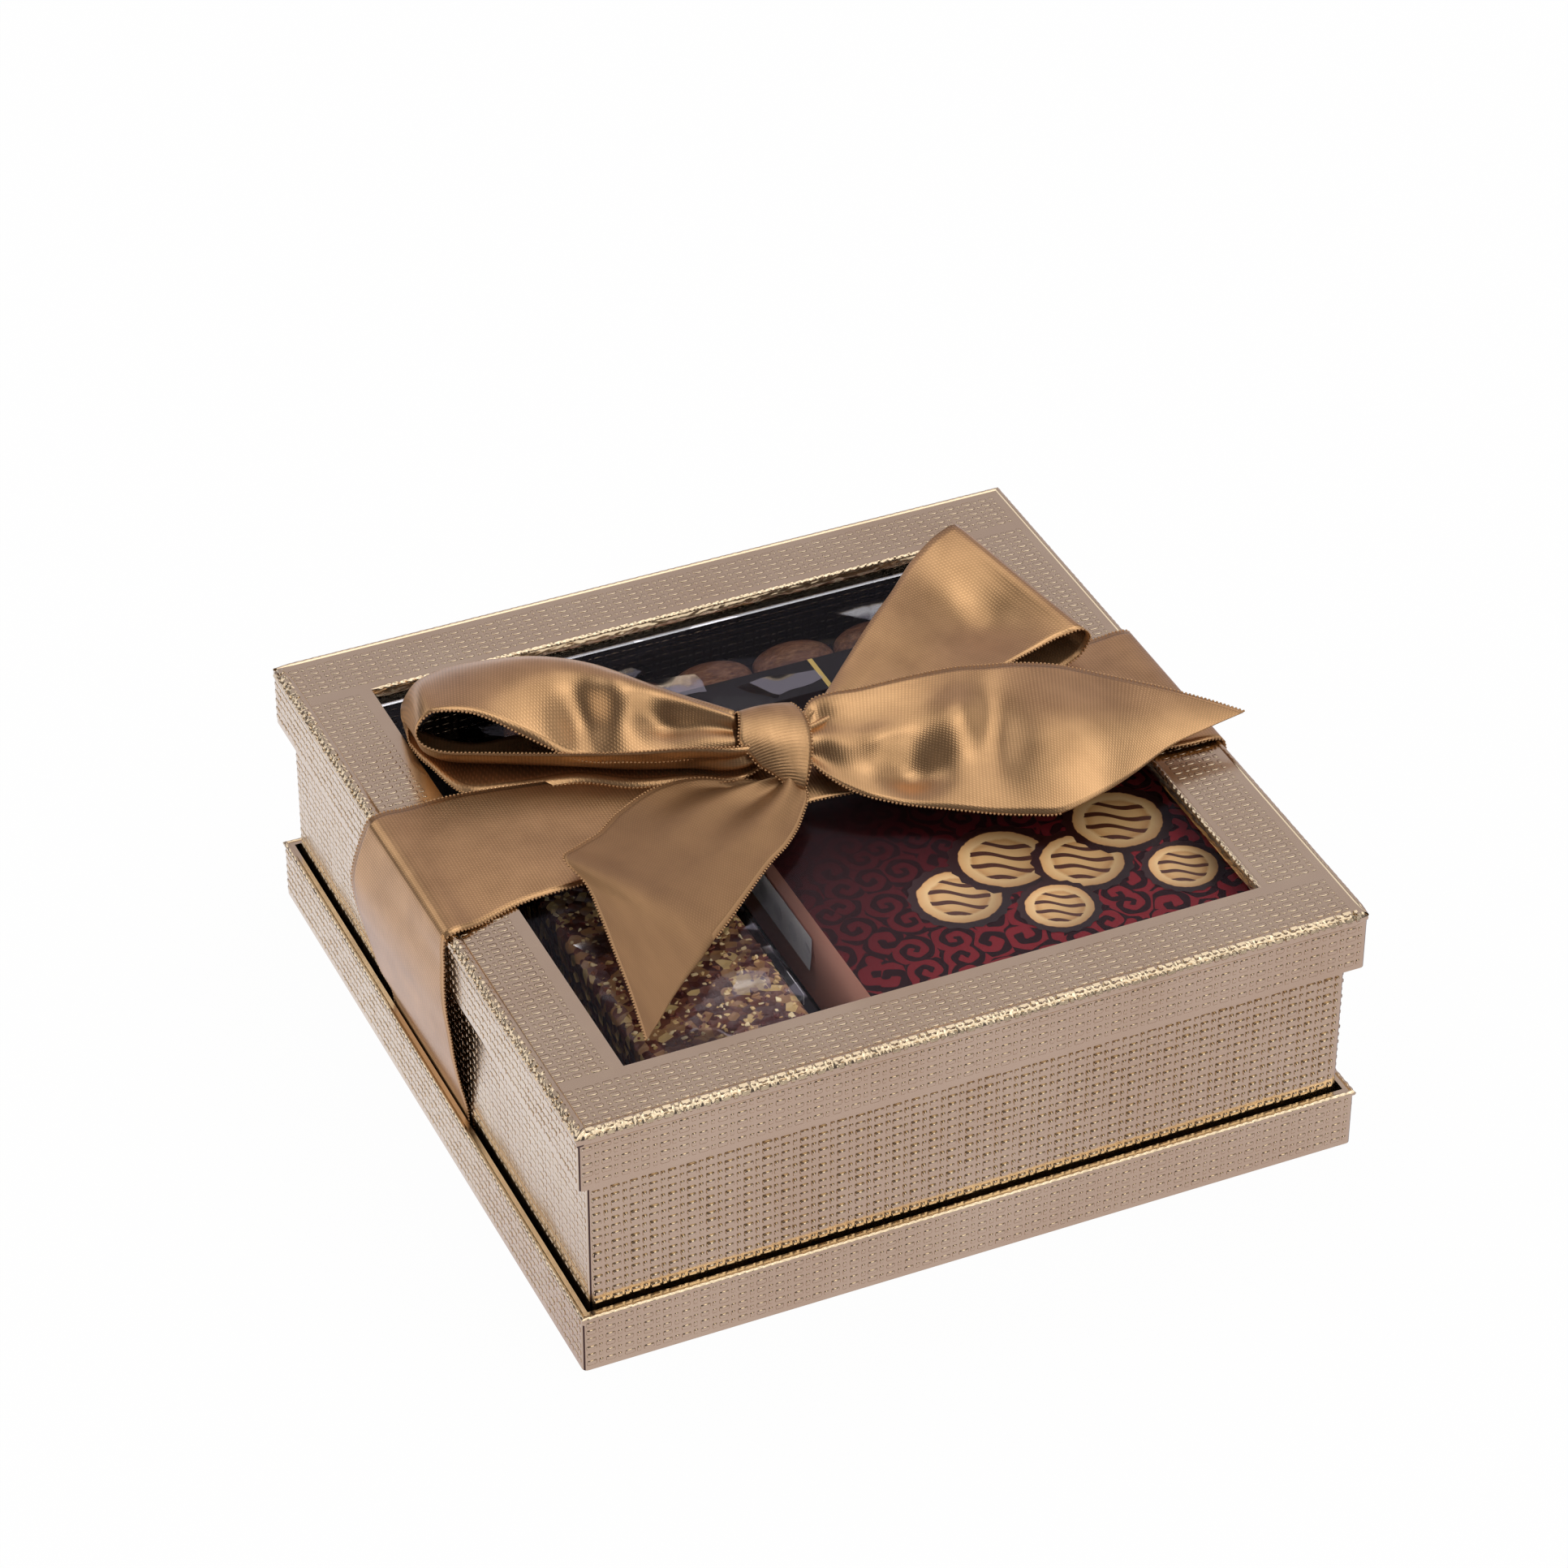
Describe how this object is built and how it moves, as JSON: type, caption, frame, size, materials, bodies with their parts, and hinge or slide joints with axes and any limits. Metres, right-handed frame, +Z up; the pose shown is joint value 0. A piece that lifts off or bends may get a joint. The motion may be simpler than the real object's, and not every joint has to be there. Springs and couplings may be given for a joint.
{
  "type": "windowed gift box of treats",
  "caption": "Low square gift box in embossed metallic paper with a windowed lift-off lid, a shallow base tray, treats inside and a satin ribbon bow.",
  "frame": {"origin": "middle of the underside, on the surface that the box stands on", "axes": "+Z up out of the lid, +X along the ribbon to the right, -Y towards the front"},
  "size_m": [0.2118, 0.198, 0.0896],
  "materials": {
    "foil_paper": "champagne metallic foil laminate, embossed weave",
    "greyboard": "raw greyboard",
    "stay_tape": "plain gummed paper tape",
    "lining_paper": "matt uncoated paper",
    "black_card": "black coated card",
    "carton_print": "printed coated carton board",
    "bag_film": "metallised film",
    "clear_film": "clear glossy film",
    "white_label": "bare white label",
    "wafer": "baked wafer",
    "fruit_and_nut": "pressed fruit and chopped nuts",
    "almond": "roasted almond skin",
    "satin_ribbon": "antique gold satin"
  },
  "bodies": {
    "base": {"tray_underside_paper": "lining_paper", "tray_board": "greyboard", "tray_wrap": "foil_paper", "tray_corner_tapes": "stay_tape", "inner_box_board": "greyboard", "inner_box_wrap": "foil_paper", "inner_box_corner_tapes": "stay_tape", "inner_box_floor_paper": "black_card", "raised_platform": "black_card", "wafer_carton": "carton_print", "wafer_carton_end_flaps": "carton_print", "wafer_bag": "bag_film", "wafer_rolls": "wafer", "nut_bar": "fruit_and_nut", "nut_bar_wrapper": "clear_film", "nut_bar_label": "white_label", "nut_bag": "clear_film", "nut_tray": "clear_film", "almonds": "almond", "nut_card": "black_card"},
    "lid": {"lid_board": "greyboard", "lid_wrap": "foil_paper", "lid_corner_tapes": "stay_tape", "window_film": "clear_film", "lid_liner": "black_card"},
    "ribbon": {"ribbon_band": "satin_ribbon", "ribbon_drop_left": "satin_ribbon", "ribbon_drop_right": "satin_ribbon", "bow_loop_left": "satin_ribbon", "bow_loop_right": "satin_ribbon", "bow_tail_front": "satin_ribbon", "bow_tail_right": "satin_ribbon", "bow_knot": "satin_ribbon"}
  },
  "joints": [
    {"name": "lid_lift", "type": "slide", "parent": "base", "child": "lid", "axis": [0, 0, 1], "range_m": [0, 0.09]},
    {"name": "ribbon_lift", "type": "slide", "parent": "lid", "child": "ribbon", "axis": [0, 0, 1], "range_m": [0, 0.08], "deforming": ["ribbon_drop_left", "ribbon_drop_right"]}
  ]
}
